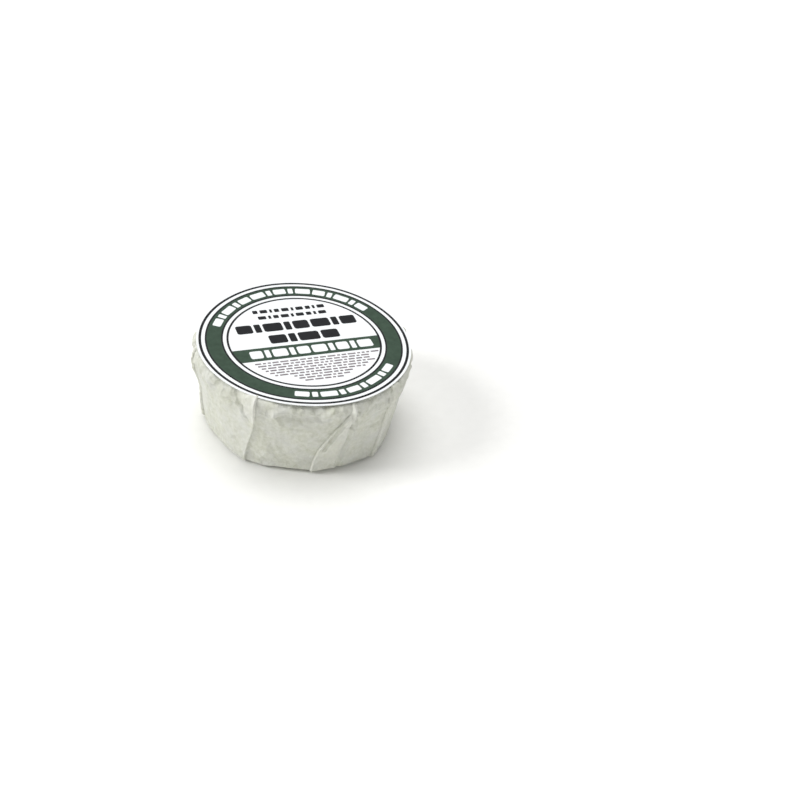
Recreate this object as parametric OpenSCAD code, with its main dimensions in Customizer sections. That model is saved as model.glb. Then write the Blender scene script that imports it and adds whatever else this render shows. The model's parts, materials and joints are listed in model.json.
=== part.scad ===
// Wrapped shaving soap puck: a round bar of soap in a pleated tissue sheet, which a round label seals.
// The soap stands on the wrapper's base. Eight side panels turn down about the bottom crease, and each
// carries a leaf that turns out about the top crease, once the label has been lifted off.

/* [Soap] */
// Diameter of the soap at its top rim
soap_top_d = 61; // [52:0.5:76]
// Diameter of the soap at the foot of its side
soap_bottom_d = 55; // [46:0.5:70]
// Height of the soap
soap_h = 25.5; // [18:0.5:36]
// Radius of the rounded rim at the top
top_edge_r = 2.2; // [1:0.1:4]
// Radius of the rounded rim at the bottom
bottom_edge_r = 2.2; // [1:0.1:4]

/* [Wrapper] */
// Number of panels that the folds divide the sheet into
panel_n = 8; // [6:1:12]
// Thickness of the folded paper
paper_t = 0.3; // [0.15:0.05:0.6]
// Clearance between the paper and the side and top of the soap
paper_gap = 0.1; // [0.05:0.05:0.3]
// Width of the slit at a fold line, at the top rim
slit_w = 0.3; // [0.15:0.05:0.8]
// Height of the slit at the bottom and top creases
crease_w = 0.15; // [0.1:0.05:0.4]
// Radius of the hole where the gathered leaves meet under the label
gather_r = 6; // [4:0.5:12]

/* [Label] */
// How far the label reaches past the soap's top rim
label_overhang = 0.75; // [0:0.05:2]
// Thickness of the label
label_t = 0.2; // [0.1:0.05:0.5]
// Width of the label's rim that has no adhesive
dry_rim_w = 3.5; // [1:0.5:8]
// Thickness of the adhesive
glue_t = 0.1; // [0.05:0.05:0.3]
// Clearance between the adhesive and the leaves
seal_gap = 0.1; // [0.05:0.05:0.3]

/* [Hidden] */
side_names = [for (k = [1 : panel_n]) str("wrapper_side_", k)];
leaf_names = [for (k = [1 : panel_n]) str("wrapper_leaf_", k)];

$fn = 96;
// Straight steps in each rounded rim of the outline
rim_steps = 8;

// How far the wrapper's outer face stands off the soap
wrap_out = paper_gap + paper_t;
soap_z = wrap_out;
soap_top_z = soap_z + soap_h;

// Centres of the two rounded rims, seen in section
low_r = soap_bottom_d / 2 - bottom_edge_r;
low_z = soap_z + bottom_edge_r;
high_r = soap_top_d / 2 - top_edge_r;
high_z = soap_top_z - top_edge_r;

// Slope of the side: the line that touches both rims
rim_dist = norm([high_r - low_r, high_z - low_z]);
slope_a = atan2(high_r - low_r, high_z - low_z) - asin((bottom_edge_r - top_edge_r) / rim_dist);

// Leaves' top face, and the label stacked on it
leaf_top_z = soap_top_z + wrap_out;
glue_z = leaf_top_z + seal_gap;
label_z = glue_z + glue_t;
label_r = soap_top_d / 2 + label_overhang;

// One panel's share of the circle, less the slit
panel_a = 360 / panel_n;
slit_a = 2 * asin(slit_w / 2 / (soap_top_d / 2 + wrap_out));

// Room past the wrapper for the shapes that trim it
past = 10;
trim_r = soap_top_d / 2 + past;

function arc(r, z, radius, from_a, to_a) =
    [for (i = [0 : rim_steps])
        let (a = from_a + (to_a - from_a) * i / rim_steps)
        [r + radius * cos(a), z + radius * sin(a)]];

// Section of the soap, grown by g on every side
function outline(g) = concat(
    [[0, low_z - bottom_edge_r - g]],
    arc(low_r, low_z, bottom_edge_r + g, -90, -slope_a),
    arc(high_r, high_z, top_edge_r + g, -slope_a, 90),
    [[0, high_z + top_edge_r + g]]);

// Band of the half-plane between two heights
module band(from_z, to_z, from_r = 0) {
    translate([from_r, from_z])
        square([trim_r - from_r, to_z - from_z]);
}

// Section of the paper between two heights
module paper_section(from_z, to_z, from_r = 0) {
    difference() {
        intersection() {
            polygon(outline(wrap_out));
            band(from_z, to_z, from_r);
        }
        polygon(outline(paper_gap));
    }
}

// Turns a section through panel k's share of the circle
module panel_sweep(k) {
    rotate([0, 0, (k - 1) * panel_a + slit_a / 2])
        rotate_extrude(angle = panel_a - slit_a)
            children();
}

module soap_puck() {
    color([0.85, 0.87, 0.71])
        rotate_extrude()
            polygon(outline(0));
}

// Shallow dish of paper that the soap stands in
module wrapper_base() {
    color([0.9, 0.9, 0.87])
        rotate_extrude()
            difference() {
                intersection() {
                    polygon(outline(wrap_out));
                    band(0, low_z - crease_w / 2);
                }
                intersection() {
                    polygon(outline(paper_gap));
                    band(soap_z, soap_top_z);
                }
            }
}

// Sloping panel between the bottom crease and the top crease
module wrapper_side(k) {
    color([0.93, 0.93, 0.9])
        panel_sweep(k)
            paper_section(low_z + crease_w / 2, high_z - crease_w / 2);
}

// Leaf that laps over the top rim and runs in towards the middle
module wrapper_leaf(k) {
    color([0.96, 0.96, 0.94])
        panel_sweep(k)
            paper_section(high_z + crease_w / 2, leaf_top_z + past, gather_r);
}

module label_adhesive() {
    color([0.8, 0.8, 0.72])
        translate([0, 0, glue_z])
            cylinder(h = glue_t, r = label_r - dry_rim_w);
}

module label_face() {
    color([0.24, 0.33, 0.27])
        translate([0, 0, label_z])
            cylinder(h = label_t, r = label_r);
}

soap_puck();
wrapper_base();
for (k = [1 : panel_n]) wrapper_side(k);
for (k = [1 : panel_n]) wrapper_leaf(k);
label_adhesive();
label_face();
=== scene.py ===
import json
import math
import random

import bpy
from mathutils import Matrix, Vector, kdtree, noise

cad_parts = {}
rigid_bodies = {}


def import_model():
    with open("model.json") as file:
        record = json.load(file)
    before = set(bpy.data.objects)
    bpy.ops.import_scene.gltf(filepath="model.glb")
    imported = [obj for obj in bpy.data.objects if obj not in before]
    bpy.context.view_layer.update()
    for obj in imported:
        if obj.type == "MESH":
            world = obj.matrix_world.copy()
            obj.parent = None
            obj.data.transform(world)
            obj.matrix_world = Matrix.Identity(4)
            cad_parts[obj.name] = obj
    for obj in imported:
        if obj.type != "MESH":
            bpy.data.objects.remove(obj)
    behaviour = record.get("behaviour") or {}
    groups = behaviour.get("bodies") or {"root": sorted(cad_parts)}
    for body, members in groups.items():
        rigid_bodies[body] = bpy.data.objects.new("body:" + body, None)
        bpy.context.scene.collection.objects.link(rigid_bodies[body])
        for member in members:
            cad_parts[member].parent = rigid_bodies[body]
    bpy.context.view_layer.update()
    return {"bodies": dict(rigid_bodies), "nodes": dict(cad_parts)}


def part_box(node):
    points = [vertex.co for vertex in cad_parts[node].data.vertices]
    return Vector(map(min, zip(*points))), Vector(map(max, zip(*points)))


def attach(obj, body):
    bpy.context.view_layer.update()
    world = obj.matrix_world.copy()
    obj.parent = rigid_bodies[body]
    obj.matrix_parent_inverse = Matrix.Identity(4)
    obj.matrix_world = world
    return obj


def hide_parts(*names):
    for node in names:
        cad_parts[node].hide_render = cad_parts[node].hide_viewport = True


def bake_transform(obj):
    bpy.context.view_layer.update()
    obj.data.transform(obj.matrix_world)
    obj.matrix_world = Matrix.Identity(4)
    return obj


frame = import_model()
mm = 0.001
panelCount = sum(1 for name in frame["bodies"] if name.startswith("side_"))
print("frame loaded:", len(frame["nodes"]), "nodes,", panelCount, "paper panels")


def pickOnly(piece):
    bpy.ops.object.select_all(action="DESELECT")
    piece.select_set(True)
    bpy.context.view_layer.objects.active = piece


def newPiece(name):
    piece = bpy.context.active_object
    piece.name = name
    piece.data.name = name
    return piece


def editAll(piece):
    pickOnly(piece)
    bpy.ops.object.mode_set(mode="EDIT")
    bpy.ops.mesh.select_all(action="SELECT")


def leaveEdit():
    bpy.ops.object.mode_set(mode="OBJECT")


def applyAll(piece):
    pickOnly(piece)
    for modifier in list(piece.modifiers):
        bpy.ops.object.modifier_apply(modifier=modifier.name)


def mergeAndFaceOut(piece, distance=0.002 * mm):
    editAll(piece)
    bpy.ops.mesh.remove_doubles(threshold=distance)
    bpy.ops.mesh.normals_make_consistent(inside=False)
    leaveEdit()


def smoothShade(piece, degrees=40):
    pickOnly(piece)
    bpy.ops.object.shade_smooth_by_angle(angle=math.radians(degrees))


def giveThickness(piece, thickness, offset=0.0):
    wall = piece.modifiers.new("wall", "SOLIDIFY")
    wall.thickness = thickness
    wall.offset = offset
    applyAll(piece)


def selectWhere(piece, test, kind="FACE"):
    # picks the edges, faces or points of a mesh by their place
    leaveEdit()
    mesh = piece.data
    for group in (mesh.vertices, mesh.edges, mesh.polygons):
        group.foreach_set("select", [False] * len(group))
    if kind == "VERT":
        for point in mesh.vertices:
            point.select = test(point.co)
    if kind == "EDGE":
        for edge in mesh.edges:
            edge.select = all(test(mesh.vertices[v].co) for v in edge.vertices)
    if kind == "FACE":
        for face in mesh.polygons:
            face.select = test(face.center)
    bpy.ops.object.mode_set(mode="EDIT")
    bpy.ops.mesh.select_mode(type=kind)


def ramp(value, start, end):
    # smooth step from 0 at start to 1 at end
    t = min(1.0, max(0.0, (value - start) / (end - start)))
    return t * t * (3 - 2 * t)


def joinAll(pieces, name):
    bpy.ops.object.select_all(action="DESELECT")
    for piece in pieces:
        piece.select_set(True)
    bpy.context.view_layer.objects.active = pieces[0]
    bpy.ops.object.join()
    return newPiece(name)


class Finish:
    # a material and the few node steps that the finishes are put together from
    def __init__(self, name):
        self.material = bpy.data.materials.new(name)
        self.material.use_nodes = True
        self.tree = self.material.node_tree
        self.shader = self.tree.nodes["Principled BSDF"]
        self.coords = self.add("ShaderNodeTexCoord").outputs["Object"]

    def add(self, kind, **settings):
        node = self.tree.nodes.new(kind)
        for key, value in settings.items():
            setattr(node, key, value)
        return node

    def link(self, source, target):
        self.tree.links.new(source, target)

    def noise(self, scale, detail=4.0, roughness=0.55, distortion=0.0, coords=None, stretch=(1, 1, 1)):
        mapping = self.add("ShaderNodeMapping")
        mapping.inputs["Scale"].default_value = stretch
        self.link(coords or self.coords, mapping.inputs["Vector"])
        node = self.add("ShaderNodeTexNoise")
        node.inputs["Scale"].default_value = scale
        node.inputs["Detail"].default_value = detail
        node.inputs["Roughness"].default_value = roughness
        node.inputs["Distortion"].default_value = distortion
        self.link(mapping.outputs["Vector"], node.inputs["Vector"])
        return node.outputs["Fac"]

    def cells(self, scale, coords=None, feature="DISTANCE_TO_EDGE", stretch=(1, 1, 1)):
        mapping = self.add("ShaderNodeMapping")
        mapping.inputs["Scale"].default_value = stretch
        self.link(coords or self.coords, mapping.inputs["Vector"])
        node = self.add("ShaderNodeTexVoronoi", feature=feature)
        node.inputs["Scale"].default_value = scale
        self.link(mapping.outputs["Vector"], node.inputs["Vector"])
        return node.outputs["Distance"]

    def bend(self, coords, scale, amount):
        # the coordinates pushed about by a noise, so that straight edges wander
        node = self.add("ShaderNodeTexNoise")
        node.inputs["Scale"].default_value = scale
        self.link(coords, node.inputs["Vector"])
        shift = self.add("ShaderNodeVectorMath", operation="MULTIPLY_ADD")
        self.link(node.outputs["Color"], shift.inputs[0])
        shift.inputs[1].default_value = (amount, amount, amount)
        self.link(coords, shift.inputs[2])
        return shift.outputs["Vector"]

    def fit(self, value, low, high, toLow=0.0, toHigh=1.0):
        node = self.add("ShaderNodeMapRange")
        for key, number in (("From Min", low), ("From Max", high), ("To Min", toLow), ("To Max", toHigh)):
            node.inputs[key].default_value = number
        self.link(value, node.inputs["Value"])
        return node.outputs["Result"]

    def sum(self, first, second, operation="ADD"):
        node = self.add("ShaderNodeMath", operation=operation)
        for socket, value in zip(node.inputs, (first, second)):
            if isinstance(value, (int, float)):
                socket.default_value = value
            else:
                self.link(value, socket)
        return node.outputs["Value"]

    def blend(self, factor, first, second, mode="MIX"):
        node = self.add("ShaderNodeMix", data_type="RGBA", blend_type=mode)
        for socket, value in ((node.inputs[0], factor), (node.inputs[6], first), (node.inputs[7], second)):
            if isinstance(value, (int, float)):
                socket.default_value = value
            elif isinstance(value, tuple):
                socket.default_value = (*value, 1)
            else:
                self.link(value, socket)
        return node.outputs[2]

    def mark(self, name):
        return self.add("ShaderNodeAttribute", attribute_name=name).outputs["Fac"]

    def bump(self, height, distance, strength=1.0, below=None):
        node = self.add("ShaderNodeBump")
        node.inputs["Distance"].default_value = distance
        node.inputs["Strength"].default_value = strength
        self.link(height, node.inputs["Height"])
        if below:
            self.link(below, node.inputs["Normal"])
        return node.outputs["Normal"]

    def done(self, color, roughness, normal, **fixed):
        self.link(color, self.shader.inputs["Base Color"])
        self.link(roughness, self.shader.inputs["Roughness"])
        self.link(normal, self.shader.inputs["Normal"])
        for name, value in fixed.items():
            self.shader.inputs[name.replace("_", " ")].default_value = value
        return self.material


def srgb(red, green, blue):
    # screen colour, 0 to 255, as the shader's linear colour
    return tuple(((c / 255 + 0.055) / 1.055) ** 2.4 for c in (red, green, blue))


stage = {
    "lens": 54.0,
    "cameraPlace": (-97.7 * mm, -273.6 * mm, 224.0 * mm),
    "cameraTurn": -25.57,  # degrees round the vertical
    "cameraDown": 36.47,  # degrees below the horizon
    "cameraRoll": 8.32,  # degrees
    "floorSize": 40.0,
    "sky": 0.25,  # overhead
    "horizon": 0.70,
    # where the bright band starts to fade and where it has faded, as the sine of the height
    "horizonTop": 0.24,
    "overheadFrom": 0.62,
    # power, azimuth, height and softness in degrees
    "lamps": {"overheadLamp": (1.85, 85, 76, 50), "sideLamp": (1.40, 172, 36, 20)},
}


def makeFloor():
    bpy.ops.mesh.primitive_plane_add(size=stage["floorSize"])
    floor = newPiece("floor")
    finish = Finish("paleFloor")
    grain = finish.noise(260, detail=3)
    color = finish.blend(finish.fit(grain, 0.3, 0.7), srgb(247, 247, 245), srgb(250, 250, 248))
    floor.data.materials.append(
        finish.done(color, finish.fit(grain, 0, 1, 0.82, 0.9), finish.bump(grain, 0.02 * mm, 0.3)))


def makeSky():
    world = bpy.data.worlds.new("softStudio")
    bpy.context.scene.world = world
    world.use_nodes = True
    nodes, links = world.node_tree.nodes, world.node_tree.links
    place = nodes.new("ShaderNodeTexCoord")
    split = nodes.new("ShaderNodeSeparateXYZ")
    links.new(place.outputs["Generated"], split.inputs[0])
    rise = nodes.new("ShaderNodeMapRange")
    rise.inputs["From Min"].default_value = stage["horizonTop"]
    rise.inputs["From Max"].default_value = stage["overheadFrom"]
    rise.inputs["To Min"].default_value = stage["horizon"]
    rise.inputs["To Max"].default_value = stage["sky"]
    links.new(split.outputs["Z"], rise.inputs["Value"])
    links.new(rise.outputs["Result"], nodes["Background"].inputs["Strength"])
    nodes["Background"].inputs["Color"].default_value = (1, 0.995, 0.985, 1)


def makeLamps():
    # wide soft lamps, far away, so that the whole floor is lit alike
    for name, (power, azimuth, height, softness) in stage["lamps"].items():
        lamp = bpy.data.lights.new(name, "SUN")
        lamp.energy = power
        lamp.angle = math.radians(softness)
        holder = bpy.data.objects.new(name, lamp)
        bpy.context.scene.collection.objects.link(holder)
        turn, tip = math.radians(azimuth), math.radians(height)
        towards = Vector((math.cos(turn) * math.cos(tip), math.sin(turn) * math.cos(tip), math.sin(tip)))
        holder.rotation_mode = "QUATERNION"
        holder.rotation_quaternion = towards.to_track_quat("Z", "Y")


def makeCamera():
    turn, down, roll = (math.radians(stage[k]) for k in ("cameraTurn", "cameraDown", "cameraRoll"))
    back = Vector((math.sin(turn) * math.cos(down), -math.cos(turn) * math.cos(down), math.sin(down)))
    across = Vector((math.cos(turn), math.sin(turn), 0))
    up = across.cross(-back)
    tiltedAcross = across * math.cos(roll) + up * math.sin(roll)
    tiltedUp = up * math.cos(roll) - across * math.sin(roll)
    data = bpy.data.cameras.new("studioCamera")
    data.lens = stage["lens"]
    data.sensor_width = 36
    data.clip_start = 0.01
    camera = bpy.data.objects.new("studioCamera", data)
    bpy.context.scene.collection.objects.link(camera)
    camera.matrix_world = Matrix.Translation(stage["cameraPlace"]) @ Matrix(
        (tiltedAcross, tiltedUp, back)).transposed().to_4x4()
    bpy.context.scene.camera = camera


makeCamera()
makeFloor()
makeSky()
makeLamps()
bpy.context.scene.view_settings.view_transform = "Standard"
print("stage set")


soap = {
    "edgeRadius": 2.2 * mm,  # both rims
    "roundSides": 128,
    "rimSteps": 9,
    "voxel": 0.36 * mm,
    "cutBack": 0.03 * mm,  # the least that the cut face lies in, and what each unevenness adds to it
    "waves": 0.32 * mm,
    "knifeMarks": 0.10 * mm,
    "grain": 0.05 * mm,
    "pits": 170,
    "pitRadius": (0.5, 1.0),  # in mm
    "pitDepth": 0.3,  # as a share of its radius
    "cracks": 22,
    "crackSteps": (4, 12),
    "crackStep": 0.38 * mm,
    "crackReach": 0.45 * mm,
    "crackDepth": 0.15 * mm,
    "shallow": -0.2 * mm,  # where the marks are set, measured from the full size
    "seed": 11,
}

soapLow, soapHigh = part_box("soap_puck")
baseLow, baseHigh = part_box("wrapper_base")
edge = soap["edgeRadius"]
paperOut = soapLow.z - baseLow.z
lowR = baseHigh.x - paperOut - edge
lowZ = soapLow.z + edge
highR = soapHigh.x - edge
highZ = soapHigh.z - edge
lean = math.atan2(highR - lowR, highZ - lowZ)
footLen = (edge + 0.3 * mm) * (math.pi / 2 - lean)
sideLen = math.hypot(highR - lowR, highZ - lowZ)
rimLen = (edge + 0.3 * mm) * (math.pi / 2 + lean)
sideEnd = footLen + sideLen
rimEnd = sideEnd + rimLen


def sectionPoint(s, off):
    # s runs up the paper: round the low rim, up the side, round the high rim and in along the top
    grown = edge + off
    if s < footLen:
        angle = -math.pi / 2 + (math.pi / 2 - lean) * s / footLen
        return lowR + grown * math.cos(angle), lowZ + grown * math.sin(angle)
    if s < sideEnd:
        t = (s - footLen) / sideLen
        return (lowR + (highR - lowR) * t + grown * math.cos(lean),
                lowZ + (highZ - lowZ) * t - grown * math.sin(lean))
    if s < rimEnd:
        angle = -lean + (math.pi / 2 + lean) * (s - sideEnd) / rimLen
        return highR + grown * math.cos(angle), highZ + grown * math.sin(angle)
    return highR - (s - rimEnd), highZ + grown


def soapFinish():
    finish = Finish("marbledSoap")
    marble = finish.noise(95, detail=7, roughness=0.62, distortion=1.3)
    cloud = finish.noise(38, detail=3, distortion=0.6)
    speck = finish.noise(620, detail=3, roughness=0.7)
    streak = finish.noise(170, detail=5, roughness=0.65, distortion=0.5, stretch=(1, 0.28, 1.3))
    color = finish.blend(finish.fit(marble, 0.36, 0.66), srgb(208, 210, 168), srgb(226, 228, 204))
    color = finish.blend(finish.fit(cloud, 0.42, 0.72, 0, 0.75), color, srgb(214, 218, 200))
    color = finish.blend(finish.fit(streak, 0.58, 0.72, 0, 0.35), color, srgb(190, 200, 172))
    color = finish.blend(finish.fit(finish.mark("rimWear"), 0, 1, 0, 0.55), color, srgb(222, 223, 172))
    dust = finish.noise(58, detail=6, roughness=0.7, distortion=0.8)
    bloom = finish.sum(dust, finish.fit(speck, 0.2, 0.8), "MULTIPLY")
    color = finish.blend(finish.fit(bloom, 0.18, 0.36, 0, 0.6), color, srgb(234, 236, 226))
    net = finish.fit(finish.cells(118), 0.012, 0.045, 0.12, 0)
    color = finish.blend(net, color, srgb(176, 184, 150))
    color = finish.blend(finish.fit(speck, 0.60, 0.78, 0, 0.35), color, srgb(240, 240, 226))
    color = finish.blend(finish.fit(finish.mark("crack"), 0.1, 1, 0, 0.6), color, srgb(156, 160, 118))
    height = finish.sum(finish.sum(speck, 0.35, "MULTIPLY"), streak)
    normal = finish.bump(height, 0.16 * mm, 0.5)
    normal = finish.bump(finish.cells(330), 0.05 * mm, 0.25, below=normal)
    return finish.done(
        color, finish.fit(marble, 0.3, 0.7, 0.42, 0.6), normal,
        Subsurface_Weight=0.45, Subsurface_Radius=(1.0, 1.0, 0.6), Subsurface_Scale=1.6 * mm,
        Specular_IOR_Level=0.42)


def carve(piece, spots, attributeName):
    # presses small dents into the surface and remembers them for the finish
    mesh = piece.data
    tree = kdtree.KDTree(len(mesh.vertices))
    for point in mesh.vertices:
        tree.insert(point.co, point.index)
    tree.balance()
    depthAt = [0.0] * len(mesh.vertices)
    tone = [0.0] * len(mesh.vertices)
    for place, radius, depth, dark in spots:
        for _, index, distance in tree.find_range(place, radius):
            share = (1 - (distance / radius) ** 2) ** 2
            depthAt[index] = max(depthAt[index], depth * share)
            tone[index] = max(tone[index], dark * share)
    normals = [point.normal.copy() for point in mesh.vertices]
    for point, normal, depth in zip(mesh.vertices, normals, depthAt):
        point.co -= normal * depth
    mark = mesh.attributes.new(attributeName, "FLOAT", "POINT")
    mark.data.foreach_set("value", tone)


def surfaceSpot(chance, s):
    azimuth = chance.uniform(-math.pi, math.pi)
    r, z = sectionPoint(s, soap["shallow"])
    return azimuth, Vector((r * math.cos(azimuth), r * math.sin(azimuth), z))


def soapSpots(chance):
    spots = []
    for _ in range(soap["pits"]):
        _, place = surfaceSpot(chance, chance.uniform(0, rimEnd + highR - 4 * mm))
        radius = chance.uniform(*soap["pitRadius"]) * mm
        spots.append((place, radius, soap["pitDepth"] * radius, chance.uniform(0.1, 0.8)))
    for _ in range(soap["cracks"]):
        s = chance.triangular(footLen, rimEnd + highR * 0.7, footLen + sideLen * 0.6)
        azimuth, _ = surfaceSpot(chance, s)
        heading = chance.gauss(0, 0.6)
        for _ in range(chance.randint(*soap["crackSteps"])):
            r, z = sectionPoint(s, soap["shallow"])
            place = Vector((r * math.cos(azimuth), r * math.sin(azimuth), z))
            spots.append((place, soap["crackReach"], soap["crackDepth"], 0.7))
            heading += chance.gauss(0, 0.22)
            azimuth += math.cos(heading) * soap["crackStep"] / max(r, 4 * mm)
            s += math.sin(heading) * soap["crackStep"]
    return spots


def makeSoap():
    # a tapered cake: cylinder, foot drawn in, both rims rounded over
    topCorner = highR + edge / math.cos(lean) + edge * math.tan(lean)
    footCorner = lowR + edge / math.cos(lean) - edge * math.tan(lean)
    middle = (soapLow.z + soapHigh.z) / 2
    bpy.ops.mesh.primitive_cylinder_add(
        vertices=soap["roundSides"], radius=topCorner, depth=soapHigh.z - soapLow.z,
        location=(0, 0, middle))
    bar = newPiece("soapBar")
    bpy.ops.object.transform_apply(location=True)
    for isTop in (False, True):
        selectWhere(bar, lambda p, isTop=isTop: (p.z > middle) == isTop, "VERT")
        bpy.ops.mesh.select_mode(type="EDGE")
        if not isTop:
            bpy.ops.transform.resize(value=(footCorner / topCorner,) * 2 + (1,), center_override=(0, 0, 0))
        corner = math.pi / 2 - lean if isTop else math.pi / 2 + lean
        bpy.ops.mesh.bevel(offset=edge / math.tan(corner / 2), segments=soap["rimSteps"], profile=0.5)
    leaveEdit()
    cake = bar.modifiers.new("cake", "REMESH")
    cake.mode = "VOXEL"
    cake.voxel_size = soap["voxel"]
    applyAll(bar)
    # hand-cut unevenness: always inwards, so that the paper keeps its room
    chance = random.Random(soap["seed"])
    mesh = bar.data
    normals = [point.normal.copy() for point in mesh.vertices]
    rims = ((highR + edge * 0.7, highZ + edge * 0.7), (lowR + edge * 0.7, lowZ - edge * 0.7))
    rim = []
    for point, normal in zip(mesh.vertices, normals):
        p = point.co
        waves = 0.5 + 0.5 * noise.noise(p / (13 * mm))
        knife = 0.5 + 0.5 * noise.noise(Vector((p.x / (5 * mm), p.y / (5 * mm), p.z / (2.2 * mm))))
        grain = 0.5 + 0.5 * noise.noise(p / (1.3 * mm))
        fray = noise.noise(p / (2.6 * mm))
        closeness = min(math.hypot(math.hypot(p.x, p.y) - r, p.z - z) for r, z in rims)
        rim.append(1 - ramp(closeness, 0.4 * mm, (2.4 + 2.2 * waves + 1.4 * fray) * mm))
        depth = soap["cutBack"] + soap["waves"] * waves + soap["knifeMarks"] * knife + soap["grain"] * grain
        point.co -= normal * depth
    mark = mesh.attributes.new("rimWear", "FLOAT", "POINT")
    mark.data.foreach_set("value", rim)
    carve(bar, soapSpots(chance), "crack")
    mesh.materials.append(soapFinish())
    smoothShade(bar, 60)
    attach(bar, "puck_and_base")
    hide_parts("soap_puck")


makeSoap()
print("soap bar cut")


# the wrapper is a foot, side panels and leaves of one tissue sheet
tissue = {
    "thickness": 0.10 * mm,
    "lie": 0.44 * mm,  # middle of the sheet above the soap
    "tuckedLie": 0.11 * mm,  # the part tucked under a neighbour
    "least": 0.15 * mm,  # the closest that the middle of the sheet comes to the soap
    "leastTucked": 0.06 * mm,
    "topPress": 0.53,  # how much closer it lies on the top and under the foot
    "footPress": 0.5,
    "foldRise": 0.50 * mm,  # how proud a folded edge stands
    "foldFade": 9 * mm,  # where the rise has mostly gone
    "edgeRoll": 0.30 * mm,
    "crestAt": 0.4 * mm,
    "crestWidth": 0.25 * mm,
    "hemWrinkle": 0.75 * mm,
    "hemGroove": 0.42 * mm,  # the valley along a hem's inner side
    "grooveWidth": 0.42 * mm,
    "gathers": 0.26 * mm,  # fine upright wrinkles in the hems
    "tuck": 2.2 * mm,
    "slack": 0.52 * mm,
    "slackSize": 8.5 * mm,
    "pinchSize": 4.2 * mm,
    "smallSize": 1.7 * mm,
    "crumple": 0.46 * mm,
    "rimBulge": 0.55 * mm,
    "footFold": 0.30 * mm,  # the crisp crease round the foot
    "columns": 132,
    "seam": 0.42,  # where side and leaf meet, as a share of the side
    "gather": 6 * mm,  # the leaves end this far from the middle
    "step": 0.33 * mm,
    "topStep": 0.7 * mm,
    "edgeCrowding": 0.72,  # how much closer the points stand at a sheet's edges
    "flatScale": 10,  # the flat sheet is mapped in decimetres
    "footInset": 3 * mm,
    "footLie": 0.06 * mm,
    # creases of the panels that have none listed: how many, then top, length, width and height in mm
    "looseCreases": 5,
    "looseTop": (14, 26),
    "looseLength": (4, 16),
    "looseWidth": (0.5, 1.4),
    "looseHeight": (0.25, 0.6),
    "seed": 5,
}

# Each fold between two panels, in degrees off its even place: at the foot, at a third and two thirds
# of the side, at the high rim, and near the middle of the top; which panel lies on top; how wide its
# doubled hem is at those places, in degrees; and how proud the corner stands, in mm, at foot and rim.
folds = [
    {"drift": (-5, -1, 2, 3, 0), "over": "high", "hem": (5, 4, 3, 7, 5), "corner": (0.5, 0.9)},
    {"drift": (6, 3, -2, -5, 0), "over": "low", "hem": (0, 0, 4, 9, 6), "corner": (0.3, 0.6)},
    {"drift": (-3, -1, 1, -2, 0), "over": "high", "hem": (9, 8, 6, 3, 3), "corner": (0.7, 0.7)},
    {"drift": (-8, -4, 1, 5, 0), "over": "high", "hem": (0, 5, 9, 7, 3), "corner": (0.2, 0.6)},
    {"drift": (-8, -7, -6, -5, 0), "over": "low", "hem": (0, 2, 6, 5, 3), "corner": (0.3, 0.6)},
    {"drift": (-4.6, -0.6, 3, 4.2, 0), "over": "low", "hem": (0, 0, 1.5, 12, 12), "corner": (0.9, 1.1)},
    {"drift": (-11, -7.6, -0.9, 7.6, 0), "over": "high", "hem": (16, 15.6, 11, 2.6, 3),
     "corner": (0.1, 0.5)},
    {"drift": (-15.5, -13, -12, -11, 0), "over": "high", "hem": (6, 7, 8, 7, 4), "corner": (0.8, 0.6)},
]

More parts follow.
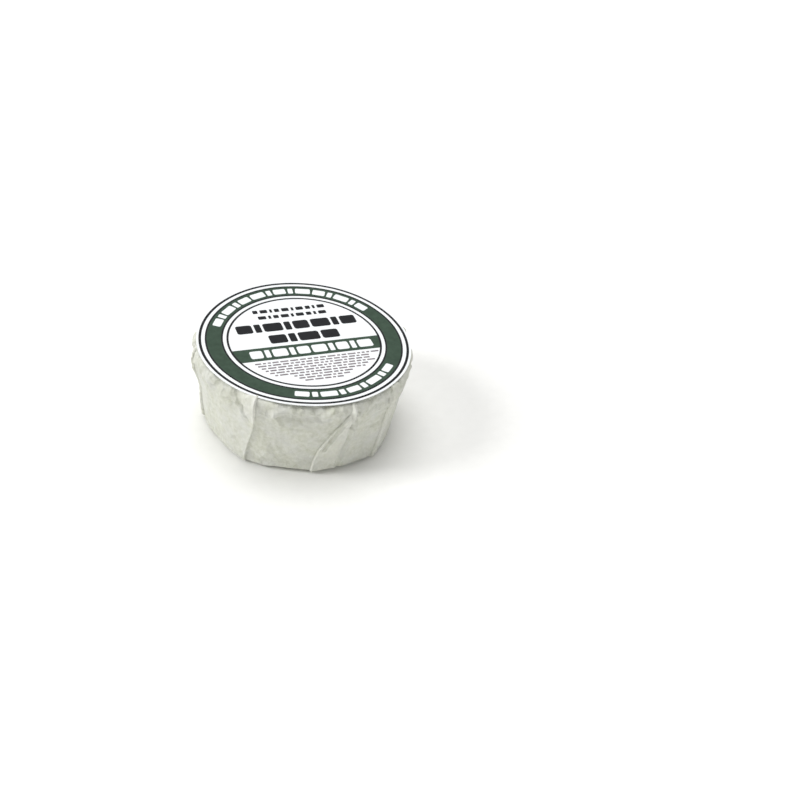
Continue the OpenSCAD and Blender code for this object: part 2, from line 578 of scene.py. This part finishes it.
# Creases within a panel: points as (degrees, mm up), how wide and how high in mm.
creases = {
    5: [
        {"path": ((-141, 24.6), (-140, 22.6), (-138.6, 20.2)), "wide": 0.45, "high": -0.5},
        {"path": ((-146.5, 24.4), (-142.5, 21.4), (-137.6, 19)), "wide": 0.4, "high": 0.55},
        {"path": ((-176, 20), (-168, 12), (-163, 4)), "wide": 2.0, "high": -0.45},
        {"path": ((-161, 24.8), (-154, 23.4), (-150, 22.6)), "wide": 0.9, "high": 1.3},
        {"path": ((-160, 22.6), (-153, 21.2), (-148, 20.8)), "wide": 0.8, "high": -0.7},
        {"path": ((-172, 23), (-166, 19), (-164, 15)), "wide": 0.7, "high": 0.4},
    ],
    6: [
        {"path": ((-122, 23.4), (-120, 21.6), (-118.5, 19)), "wide": 0.5, "high": 0.6},
        {"path": ((-120.5, 22.8), (-118.6, 21.4), (-117.2, 19.2)), "wide": 0.5, "high": -0.5},
        {"path": ((-119, 22.8), (-113, 21.6), (-106, 22.2)), "wide": 0.7, "high": -0.6},
        {"path": ((-122, 23.2), (-116, 24.0), (-106, 24.4), (-100.5, 23.6)), "wide": 0.7, "high": 1.15},
        {"path": ((-97.5, 23.4), (-93, 24.3), (-88, 24.3)), "wide": 0.6, "high": 1.15},
        {"path": ((-100.5, 23.2), (-98.5, 21.4)), "wide": 0.5, "high": -0.6},
        {"path": ((-128, 9), (-119, 6.5), (-110, 7)), "wide": 2.4, "high": 0.2},
    ],
    7: [
        {"path": ((-81.3, 24), (-79.2, 19.6), (-79.0, 15.6)), "wide": 0.5, "high": 0.60},
        {"path": ((-82.6, 24), (-80.4, 19.6), (-80.2, 16.6)), "wide": 0.4, "high": -0.45},
        {"path": ((-86, 25.5), (-78.5, 22.6), (-76.0, 21.2)), "wide": 0.6, "high": 0.7},
        {"path": ((-86, 18.6), (-88.8, 15.5), (-91.6, 12.6), (-94.6, 9.4)), "wide": 0.35, "high": -0.6},
        {"path": ((-84.6, 18.2), (-87.4, 15.2), (-90.2, 12.3), (-93.2, 9.2)), "wide": 0.45, "high": 0.5},
        {"path": ((-80.0, 18), (-81.3, 12), (-85.2, 2.6)), "wide": 0.4, "high": -0.5},
        {"path": ((-77.6, 19), (-79.2, 12), (-82.8, 2.6)), "wide": 0.55, "high": 0.55},
        {"path": ((-70, 24), (-66, 15), (-69, 6)), "wide": 2.6, "high": -0.35},
    ],
}

panelAngle = 2 * math.pi / panelCount
seamAt = footLen + sideLen * tissue["seam"]


def foldValue(index, key, s):
    # smooth curve through the five values that a fold gives, in radians
    stops = (0, footLen + sideLen / 3, footLen + sideLen * 2 / 3, sideEnd + rimLen * 0.3,
             rimEnd + highR * 0.7)
    values = folds[index % panelCount][key]
    i = max(k for k in range(4) if k == 0 or s >= stops[k])
    t = min(1.0, max(0.0, (s - stops[i]) / (stops[i + 1] - stops[i])))
    a, b = values[i], values[i + 1]
    slopeA, slopeB = (b - values[max(0, i - 1)]) / 2, (values[min(4, i + 2)] - a) / 2
    value = ((2 * t ** 3 - 3 * t ** 2 + 1) * a + (t ** 3 - 2 * t ** 2 + t) * slopeA
             + (3 * t ** 2 - 2 * t ** 3) * b + (t ** 3 - t ** 2) * slopeB)
    return math.radians(value)


def foldAzimuth(index, s):
    return index * panelAngle + foldValue(index, "drift", s)


def quietEnds(s):
    # relief dies out under the foot and on the top, where the paper is pressed flat
    pastFoot = ramp(s, footLen * 0.12, footLen * 0.95)
    return pastFoot * (1 - ramp(s, sideEnd + rimLen * 0.35, sideEnd + rimLen * 0.8))


def creaseRelief(crease, azimuth, height):
    nearest = 1e9
    reach = highR + edge
    places = [(math.radians(a) * reach, h * mm) for a, h in crease["path"]]
    turns = round((azimuth - math.radians(crease["path"][0][0])) / (2 * math.pi))
    x, y = (azimuth - turns * 2 * math.pi) * reach, height
    for (ax, ay), (bx, by) in zip(places, places[1:]):
        dx, dy = bx - ax, by - ay
        t = min(1.0, max(0.0, ((x - ax) * dx + (y - ay) * dy) / (dx * dx + dy * dy)))
        nearest = min(nearest, math.hypot(x - ax - t * dx, y - ay - t * dy))
    wide = crease["wide"] * mm
    if nearest > 3 * wide:
        return 0.0
    return crease["high"] * mm * math.exp(-(nearest / wide) ** 1.5)


def randomCreases(panel, chance):
    found = []
    for _ in range(tissue["looseCreases"]):
        azimuth = math.degrees((panel - chance.uniform(0.12, 0.88)) * panelAngle)
        top = chance.uniform(*tissue["looseTop"])
        length = chance.uniform(*tissue["looseLength"])
        slant = chance.gauss(0, 0.55)
        path = [(azimuth + slant * length * share + chance.gauss(0, 0.5), top - length * share)
                for share in (0, 0.5, 1)]
        high = chance.choice((-1, 1)) * chance.uniform(*tissue["looseHeight"])
        found.append({"path": path, "wide": chance.uniform(*tissue["looseWidth"]), "high": high})
    return found


def cornerRelief(panel, s, share):
    # the panel is flat in its middle and stands proud where it turns to its neighbours
    share = min(max(share, -0.3), 1.3)
    if share < 0.5:
        foot, rim = folds[(panel - 1) % panelCount]["corner"]
        near = 1 - 2 * abs(share)
    else:
        foot, rim = folds[panel % panelCount]["corner"]
        near = 1 - 2 * abs(1 - share)
    return (foot + (rim - foot) * ramp(s, footLen, sideEnd)) * mm * near ** 2


def rimShare(z):
    # the paper is gathered most just under the high rim
    return ramp(z, highZ - 7 * mm, highZ + 0.5 * mm)


def sheetRelief(panel, azimuth, s, share, panelCreases):
    r, z = sectionPoint(s, 0)
    p = Vector((r * math.cos(azimuth), r * math.sin(azimuth), z))
    bend = Vector((noise.noise(p / (5 * mm)), noise.noise(p / (5 * mm) + Vector((3, 8, 5))), 0)) * 0.5
    slack = noise.noise(p / tissue["slackSize"]) * tissue["slack"]
    pinch = 1 - 3.2 * abs(noise.noise(p / tissue["pinchSize"] + bend + Vector((7, 3, 1))))
    small = 1 - 3 * abs(noise.noise(p / tissue["smallSize"] + bend + Vector((2, 9, 4))))
    crumple = (pinch * 0.75 + small * 0.25) * tissue["crumple"] * (0.30 + 0.85 * rimShare(z))
    around = Vector((math.cos(azimuth) * 4.2, math.sin(azimuth) * 4.2, z / (9 * mm)))
    bulge = (0.75 + 0.9 * noise.noise(around)) * tissue["rimBulge"] * ramp(z, lowZ + 6 * mm, highZ)
    folded = sum(creaseRelief(crease, azimuth, z) for crease in panelCreases)
    footFold = tissue["footFold"] * math.exp(-((s - footLen * 0.8) / (0.5 * mm)) ** 2)
    return (slack + crumple + bulge + cornerRelief(panel, s, share) + folded + footFold) * quietEnds(s)


def hemRelief(index, azimuth, s, reach, distance, rise):
    # how proud the upper sheet stands at a distance from its edge, and how far that is within its hem
    curl = 1 - (1 - min(1.0, distance / tissue["edgeRoll"])) ** 2
    crest = 1 + 0.35 * math.exp(-((distance - tissue["crestAt"]) / tissue["crestWidth"]) ** 2)
    hem = foldValue(index, "hem", s) * reach
    hasHem = ramp(hem, 0.5 * mm, 2 * mm)
    inHem = hasHem * (1 - ramp(distance, hem - 0.4 * mm, hem + 0.05 * mm))
    groove = math.exp(-(abs(distance - hem - 0.3 * mm) / tissue["grooveWidth"]) ** 1.4)
    wrinkle = noise.noise(Vector((azimuth * reach / tissue["hemWrinkle"], s / (9 * mm), index * 5.3)))
    upper = ramp(s, footLen + sideLen * 0.45, sideEnd)
    edgeRise = rise * math.exp(-distance / tissue["foldFade"]) * (0.22 + 0.78 * curl) * crest
    edgeRise *= 0.45 + 0.55 * max(inHem, 1 - hasHem)
    gathers = inHem * upper * wrinkle * tissue["gathers"] - groove * hasHem * tissue["hemGroove"]
    return edgeRise + gathers * quietEnds(s), inHem


def sheetPoint(panel, s, t, panelCreases):
    # t runs across the panel from 0 to 1, with more points close to the edges
    t = t - tissue["edgeCrowding"] * math.sin(2 * math.pi * t) / (2 * math.pi)
    low, high = foldAzimuth(panel - 1, s), foldAzimuth(panel, s)
    lowOver = folds[(panel - 1) % panelCount]["over"] == "high"
    highOver = folds[panel % panelCount]["over"] == "low"
    reach = max(sectionPoint(s, 0)[0], tissue["gather"])
    widening = 1 + 0.6 * ramp(s, sideEnd, rimEnd + highR * 0.5)
    start = low - (0 if lowOver else tissue["tuck"] * widening / reach)
    end = high + (0 if highOver else tissue["tuck"] * widening / reach)
    azimuth = start + (end - start) * t
    share = (azimuth - low) / (high - low)
    # the paper lies closest under the foot and on the top
    flatTop = ramp(s, sideEnd + rimLen * 0.3, sideEnd + rimLen * 0.9)
    underFoot = 1 - ramp(s, 0, footLen * 0.9)
    lie = tissue["lie"] * (1 - tissue["topPress"] * flatTop - tissue["footPress"] * underFoot)
    rise = tissue["foldRise"] * (1 - 0.62 * flatTop) * ramp(s, footLen * 0.05, footLen)
    rise *= 1 + 0.5 * noise.noise(Vector((panel * 3.7, s / (6 * mm), 0)))
    off = lie
    doubled = 0.0
    for isOver, index, distance in ((lowOver, panel - 1, (azimuth - low) * reach),
                                    (highOver, panel, (high - azimuth) * reach)):
        if isOver:
            relief, inHem = hemRelief(index, azimuth, s, reach, distance, rise)
            off += relief
            doubled = max(doubled, inHem)
        else:
            off += (tissue["tuckedLie"] - lie) * ramp(-distance, 0.05 * mm, 0.9 * mm)
    off += sheetRelief(panel, azimuth, s, share, panelCreases)
    # a dip ends where the paper meets the soap, or the sheet tucked in below
    off = max(off, tissue["leastTucked"] if share < 0 or share > 1 else tissue["least"])
    r, z = sectionPoint(s, off)
    return Vector((r * math.cos(azimuth), r * math.sin(azimuth), z)), azimuth, doubled


def wrapSheet(name, panel, stations, panelCreases):
    # a flat strip of paper, then every point is laid over the soap
    columns = tissue["columns"]
    bpy.ops.mesh.primitive_grid_add(x_subdivisions=columns, y_subdivisions=len(stations) - 1, size=1)
    sheet = newPiece(name)
    mesh = sheet.data
    flatMap = mesh.uv_layers.new(name="flatPaper") if not mesh.uv_layers else mesh.uv_layers[0]
    flatMap.name = "flatPaper"
    spots = []
    flat = []
    hems = []
    for point in mesh.vertices:
        across, along = point.co.x + 0.5, point.co.y + 0.5
        s = stations[round(along * (len(stations) - 1))]
        place, azimuth, doubled = sheetPoint(panel, s, across, panelCreases)
        spots.append(place)
        flat.append((azimuth * (highR + edge) * tissue["flatScale"], s * tissue["flatScale"]))
        hems.append(doubled)
    mesh.attributes.new("doubled", "FLOAT", "POINT").data.foreach_set("value", hems)
    gathered = [rimShare(place.z) for place in spots]
    mesh.attributes.new("gathered", "FLOAT", "POINT").data.foreach_set("value", gathered)
    for point, place in zip(mesh.vertices, spots):
        point.co = place
    for loop in mesh.loops:
        flatMap.data[loop.index].uv = flat[loop.vertex_index]
    mesh.update()
    return sheet


def evenSteps(start, end, step):
    count = max(2, round((end - start) / step))
    return [start + (end - start) * i / count for i in range(count + 1)]


def finishSheet(sheet):
    middle = Vector((0, 0, (soapLow.z + soapHigh.z) / 2))
    if sum(face.normal.dot(face.center - middle) * face.area for face in sheet.data.polygons) < 0:
        editAll(sheet)
        bpy.ops.mesh.flip_normals()
        leaveEdit()
    giveThickness(sheet, tissue["thickness"])
    smoothShade(sheet, 50)


def tissueFinish():
    finish = Finish("wrappingTissue")
    flat = finish.add("ShaderNodeUVMap", uv_map="flatPaper").outputs["UV"]
    gathered = finish.fit(finish.mark("gathered"), 0, 1, 0.45, 1.0)
    pulp = finish.noise(70, detail=6, roughness=0.65, coords=flat)
    cloud = finish.noise(15, detail=3, coords=flat)
    fibre = finish.noise(260, detail=4, roughness=0.75, coords=flat, stretch=(1, 0.35, 1))
    crinkle = finish.noise(30, detail=7, roughness=0.6, distortion=1.1, coords=flat)
    bent = finish.bend(flat, 24, 0.018)
    facets = finish.cells(15, coords=bent, feature="F1")
    smallFacets = finish.cells(44, coords=bent, feature="F1")
    color = finish.blend(finish.fit(pulp, 0.34, 0.68), srgb(197, 199, 182), srgb(220, 221, 211))
    color = finish.blend(finish.fit(cloud, 0.40, 0.66, 0, 0.5), color, srgb(216, 217, 215))
    color = finish.blend(finish.fit(finish.mark("doubled"), 0, 1, 0, 0.3), color, srgb(236, 236, 228))
    color = finish.blend(finish.fit(fibre, 0.58, 0.76, 0, 0.4), color, srgb(236, 236, 230))
    normal = finish.bump(facets, 1.2 * mm, 0.6)
    normal = finish.bump(finish.sum(smallFacets, gathered, "MULTIPLY"), 0.9 * mm, 0.85, below=normal)
    normal = finish.bump(finish.sum(crinkle, gathered, "MULTIPLY"), 0.85 * mm, 0.85, below=normal)
    normal = finish.bump(fibre, 0.08 * mm, 0.8, below=normal)
    return finish.done(
        color, finish.fit(crinkle, 0.3, 0.7, 0.62, 0.8), normal,
        Sheen_Weight=0.12, Sheen_Roughness=0.5, Specular_IOR_Level=0.35)


def makeFoot(finish):
    # the disc that the soap stands on, with its lip turned up inside the panels
    flatR, flatZ = lowR - tissue["footInset"], tissue["footLie"]
    bpy.ops.mesh.primitive_circle_add(
        vertices=soap["roundSides"], radius=flatR, fill_type="NGON", location=(0, 0, flatZ))
    foot = newPiece("wrapperFoot")
    bpy.ops.object.transform_apply(location=True)
    selectWhere(foot, lambda p: True, "EDGE")
    lastR, lastZ = flatR, flatZ
    lip = [(flatR + 1.5 * mm, 0.12 * mm)]
    lip += [sectionPoint(footLen * share, tissue["tuckedLie"]) for share in (0.05, 0.2, 0.35, 0.5)]
    for r, z in lip:
        bpy.ops.mesh.extrude_edges_move()
        bpy.ops.transform.resize(value=(r / lastR, r / lastR, 1), center_override=(0, 0, lastZ))
        bpy.ops.transform.translate(value=(0, 0, z - lastZ))
        lastR, lastZ = r, z
    selectWhere(foot, lambda p: math.hypot(p.x, p.y) < 0.5 * mm, "FACE")
    for _ in range(10):
        bpy.ops.mesh.inset(thickness=2 * mm)
    bpy.ops.mesh.poke()
    leaveEdit()
    for point in foot.data.vertices:
        inner = 1 - ramp(point.co.xy.length, flatR - 2 * mm, flatR)
        point.co.z += 0.05 * mm * inner * (1 + noise.noise(point.co / (4 * mm)))
    mergeAndFaceOut(foot)
    giveThickness(foot, tissue["thickness"])
    mesh = foot.data
    flatMap = mesh.uv_layers[0] if mesh.uv_layers else mesh.uv_layers.new()
    flatMap.name = "flatPaper"
    for loop in mesh.loops:
        flatMap.data[loop.index].uv = mesh.vertices[loop.vertex_index].co.xy * tissue["flatScale"]
    smoothShade(foot, 50)
    mesh.materials.append(finish)
    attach(foot, "puck_and_base")
    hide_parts("wrapper_base")


def makeWrapper():
    finish = tissueFinish()
    makeFoot(finish)
    chance = random.Random(tissue["seed"])
    sideStations = evenSteps(footLen * 0.04, seamAt, tissue["step"])
    leafStations = evenSteps(seamAt, rimEnd, tissue["step"])[:-1]
    leafStations += evenSteps(rimEnd, rimEnd + highR - tissue["gather"], tissue["topStep"])
    own = {panel: creases.get(panel) or randomCreases(panel, chance) for panel in range(1, panelCount + 1)}
    for panel in range(1, panelCount + 1):
        # a neighbour's creases run on into the edge that overlaps it
        before, after = (panel - 2) % panelCount + 1, panel % panelCount + 1
        panelCreases = own[panel] + own[before] + own[after]
        side = wrapSheet(f"tissueSide_{panel}", panel, sideStations, panelCreases)
        leaf = wrapSheet(f"tissueLeaf_{panel}", panel, leafStations, panelCreases)
        for sheet in (side, leaf):
            finishSheet(sheet)
            sheet.data.materials.append(finish)
        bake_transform(side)
        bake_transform(leaf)
        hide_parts(f"wrapper_side_{panel}")
        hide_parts(f"wrapper_leaf_{panel}")


makeWrapper()
print("tissue wrapped round the bar")


label = {
    "lineR": 30.2 * mm,  # the thin outer line, which the rest is measured by
    "wave": 0.13 * mm,
    "lift": 0.9 * mm,  # how far the far edge has come up
    "liftAzimuth": 80,
    "inkThickness": 0.02 * mm,
    "roundSides": 240,
    "ringStep": 1.25 * mm,
    "inkStep": 1.2 * mm,
    "seed": 23,
}

# The print, in shares of the thin outer line's radius.
printed = {
    "greenRing": (0.943, 0.79),
    "greenBand": (-0.25, -0.045),
    "bandR": 0.738,
    "lines": ((1.013, 0.988), (0.953, 0.937), (0.799, 0.783), (0.749, 0.729)),
    "gap": 0.024,
    # rows of bars: left, right, height up the label, bar height and the bars' widths
    "blackRows": (
        (-0.37, 0.37, 0.56, 0.055, (2, 3, 1, 2, 3, 1, 3, 2, 1, 3)),
        (-0.34, 0.36, 0.455, 0.055, (3, 1, 2, 3, 1, 3, 2, 1, 3)),
        (-0.605, 0.61, 0.28, 0.14, (5, 2, 6, 2, 5, 6, 2, 5)),
        (-0.33, 0.37, 0.075, 0.14, (5, 2, 6, 5)),
    ),
    "bandRow": (-0.58, 0.64, -0.148, 0.12, (5, 2, 6, 2, 5, 6, 2, 5, 2, 6)),
    "arcR": 0.8665,
    # bars on the ring: start and end in degrees, bar height and the bars' widths
    "arcs": (
        (153, 28, 0.082, (5, 2, 6, 2, 5, 6, 2, 5, 2, 6, 5, 2, 6, 2, 5)),
        (-113, -38, 0.074, (5, 2, 6, 2, 5, 2, 6, 2, 5)),
    ),
    # dashes of the small print: the last rows are shorter
    "dashTop": -0.295,
    "dashWidths": (0.03, 0.045, 0.06, 0.08),
    "dashHeight": 0.021,
    "dashGap": 0.016,
    "dashRowStep": 0.041,
    "dashR": 0.69,
    "dashReach": 6 * (0.92,) + 3 * (0.62,),
}

labelLow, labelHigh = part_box("label_face")
labelR = labelHigh.x


def labelTop(x, y):
    # the label's slightly wavy upper face
    r = math.hypot(x, y) / labelR
    azimuth = math.atan2(y, x)
    edgeWave = math.sin(3 * azimuth + 0.6) + 0.6 * math.sin(7 * azimuth + 2.0)
    cockle = noise.noise(Vector((x, y, 0)) / (14 * mm))
    lifted = max(0.0, math.cos(azimuth - math.radians(label["liftAzimuth"]))) ** 2 * ramp(r, 0.5, 1.15)
    return (labelHigh.z + label["lift"] * lifted
            + label["wave"] * (0.45 * edgeWave * r ** 3 + 0.4 * cockle * r + 0.25))


def labelPaperFinish():
    finish = Finish("labelPaper")
    pulp = finish.noise(420, detail=4, roughness=0.6)
    cloud = finish.noise(60, detail=2)
    color = finish.blend(finish.fit(pulp, 0.35, 0.65), srgb(240, 244, 246), srgb(247, 249, 250))
    color = finish.blend(finish.fit(cloud, 0.4, 0.7, 0, 0.4), color, srgb(243, 246, 246))
    normal = finish.bump(pulp, 0.02 * mm, 0.35)
    return finish.done(
        color, finish.fit(pulp, 0.3, 0.7, 0.42, 0.52), normal,
        Coat_Weight=0.15, Coat_Roughness=0.35, Specular_IOR_Level=0.45)


def inkFinish(name, dark, light):
    finish = Finish(name)
    lay = finish.noise(520, detail=3, roughness=0.65)
    patch = finish.noise(120, detail=2)
    color = finish.blend(finish.fit(lay, 0.35, 0.68), dark, light)
    color = finish.blend(finish.fit(patch, 0.45, 0.75, 0, 0.4), color, light)
    return finish.done(
        color, finish.fit(lay, 0.3, 0.7, 0.38, 0.5), finish.bump(lay, 0.01 * mm, 0.4),
        Specular_IOR_Level=0.25)


def makeLabel():
    bpy.ops.mesh.primitive_circle_add(vertices=label["roundSides"], radius=labelR, fill_type="NGON")
    face = newPiece("labelDisc")
    editAll(face)
    bpy.ops.mesh.select_mode(type="FACE")
    for _ in range(int(labelR / label["ringStep"])):
        bpy.ops.mesh.inset(thickness=label["ringStep"])
    bpy.ops.mesh.poke()
    leaveEdit()
    for point in face.data.vertices:
        point.co.z = labelTop(point.co.x, point.co.y)
    mergeAndFaceOut(face)
    if face.data.polygons[0].normal.z < 0:
        editAll(face)
        bpy.ops.mesh.flip_normals()
        leaveEdit()
    giveThickness(face, labelHigh.z - labelLow.z, offset=-1)
    smoothShade(face, 40)
    face.data.materials.append(labelPaperFinish())
    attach(face, "label")
    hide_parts("label_face")


def pressOntoLabel(ink, name, finish, layer=1):
    # ink follows the label's waves, a hair above the paper
    for point in ink.data.vertices:
        point.co.z = labelTop(point.co.x, point.co.y) + layer * label["inkThickness"]
    mergeAndFaceOut(ink)
    if sum(face.normal.z for face in ink.data.polygons) < 0:
        editAll(ink)
        bpy.ops.mesh.flip_normals()
        leaveEdit()
    giveThickness(ink, label["inkThickness"], offset=-1)
    smoothShade(ink, 30)
    ink.name = name
    ink.data.materials.clear()
    ink.data.materials.append(finish)
    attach(ink, "label")


def inkRing(outer, inner):
    # a circle inset in steps, with its middle taken out
    bpy.ops.mesh.primitive_circle_add(vertices=label["roundSides"], radius=outer, fill_type="NGON")
    ring = newPiece("ring")
    editAll(ring)
    bpy.ops.mesh.select_mode(type="FACE")
    steps = max(1, round((outer - inner) / label["inkStep"]))
    for _ in range(steps):
        bpy.ops.mesh.inset(thickness=(outer - inner) / steps)
    bpy.ops.mesh.delete(type="FACE")
    leaveEdit()
    return ring


def inkBand(radius, low, high):
    # the strip of a disc between two straight cuts
    bpy.ops.mesh.primitive_grid_add(x_subdivisions=64, y_subdivisions=8, size=1)
    band = newPiece("band")
    editAll(band)
    bpy.ops.transform.resize(value=(2 * radius, high - low, 1), center_override=(0, 0, 0))
    leaveEdit()
    for point in band.data.vertices:
        y = (low + high) / 2 + point.co.y
        point.co.x *= math.sqrt(radius ** 2 - y ** 2) / radius
        point.co.y = y
    return band


barShapes = {}


def inkBar(width, height, place, turn=0.0):
    # a round-cornered bar, modelled once for each size and then copied
    key = (round(width / mm, 2), round(height / mm, 2))
    if key not in barShapes:
        bpy.ops.mesh.primitive_plane_add(size=1)
        bar = newPiece("bar")
        editAll(bar)
        bpy.ops.transform.resize(value=(width, height, 1), center_override=(0, 0, 0))
        bpy.ops.mesh.bevel(offset=min(width, height) * 0.18, segments=3, affect="VERTICES")
        bpy.ops.mesh.poke()
        leaveEdit()
        barShapes[key] = bar
    shape = barShapes[key]
    copy = shape.copy()
    copy.data = shape.data.copy()
    bpy.context.scene.collection.objects.link(copy)
    copy.data.transform(Matrix.Translation((*place, 0)) @ Matrix.Rotation(turn, 4, "Z"))
    return copy


def barRow(left, right, y, height, shares, gap):
    # bars of the given shares side by side, which stand where words would
    scale = (right - left - gap * (len(shares) - 1)) / sum(shares)
    bars = []
    x = left
    for share in shares:
        width = scale * share
        bars.append(inkBar(width, height, (x + width / 2, y)))
        x += width + gap
    return bars


def barArc(radius, start, end, height, shares, gap):
    # the same along an arc, in degrees
    total = math.radians(abs(end - start)) * radius
    scale = (total - gap * (len(shares) - 1)) / sum(shares)
    way = 1 if end > start else -1
    azimuth = math.radians(start)
    bars = []
    for share in shares:
        width = scale * share
        azimuth += way * width / 2 / radius
        place = (radius * math.cos(azimuth), radius * math.sin(azimuth))
        bars.append(inkBar(width, height, place, azimuth - math.pi / 2))
        azimuth += way * (width / 2 + gap) / radius
    return bars


def makeRow(row):
    left, right, y, height, shares = row
    unit = label["lineR"]
    return barRow(left * unit, right * unit, y * unit, height * unit, shares, printed["gap"] * unit)


def makeArc(arc):
    start, end, height, shares = arc
    unit = label["lineR"]
    return barArc(printed["arcR"] * unit, start, end, height * unit, shares, printed["gap"] * unit)


def makeDashes():
    unit = label["lineR"]
    chance = random.Random(label["seed"])
    bars = []
    for row, rowReach in enumerate(printed["dashReach"]):
        y = (printed["dashTop"] - printed["dashRowStep"] * row) * unit
        reach = math.sqrt((printed["dashR"] * unit) ** 2 - y ** 2) * rowReach
        x = -reach
        while x < reach:
            width = chance.choice(printed["dashWidths"]) * unit
            bars.append(inkBar(width, printed["dashHeight"] * unit, (x + width / 2, y)))
            x += width + printed["dashGap"] * unit
    return bars


def makePrint():
    unit = label["lineR"]
    green = inkFinish("greenInk", srgb(46, 66, 52), srgb(58, 79, 64))
    black = inkFinish("blackInk", srgb(9, 11, 15), srgb(18, 20, 25))
    paper = labelPaperFinish()
    grey = inkFinish("smallPrintInk", srgb(118, 110, 115), srgb(146, 138, 142))
    ringOut, ringIn = (share * unit for share in printed["greenRing"])
    bandLow, bandHigh = (share * unit for share in printed["greenBand"])
    greenParts = [inkRing(ringOut, ringIn), inkBand(printed["bandR"] * unit, bandLow, bandHigh)]
    pressOntoLabel(joinAll(greenParts, "greenPrint"), "greenPrint", green)

    lines = [inkRing(outer * unit, inner * unit) for outer, inner in printed["lines"]]
    pressOntoLabel(joinAll(lines, "thinLines"), "thinLines", black, layer=2)

    blackBars = [bar for row in printed["blackRows"] for bar in makeRow(row)]
    pressOntoLabel(joinAll(blackBars, "blackBars"), "blackBars", black)

    paleBars = [bar for arc in printed["arcs"] for bar in makeArc(arc)]
    paleBars += makeRow(printed["bandRow"])
    pressOntoLabel(joinAll(paleBars, "paleBars"), "paleBars", paper, layer=2)

    pressOntoLabel(joinAll(makeDashes(), "smallPrint"), "smallPrint", grey)
    for shape in barShapes.values():
        bpy.data.objects.remove(shape)


def adhesiveFinish():
    finish = Finish("dryAdhesive")
    smear = finish.noise(140, detail=4, distortion=1.2, stretch=(1, 0.35, 1))
    color = finish.blend(finish.fit(smear, 0.3, 0.7), srgb(214, 212, 196), srgb(228, 226, 212))
    return finish.done(
        color, finish.fit(smear, 0.3, 0.7, 0.25, 0.5), finish.bump(smear, 0.05 * mm, 0.4),
        Coat_Weight=0.3, Coat_Roughness=0.2)


def makeAdhesive():
    glue = frame["nodes"]["label_adhesive"]
    glue.data.materials.clear()
    glue.data.materials.append(adhesiveFinish())
    for face in glue.data.polygons:
        face.material_index = 0


makeLabel()
makePrint()
makeAdhesive()
print("label printed and laid on")
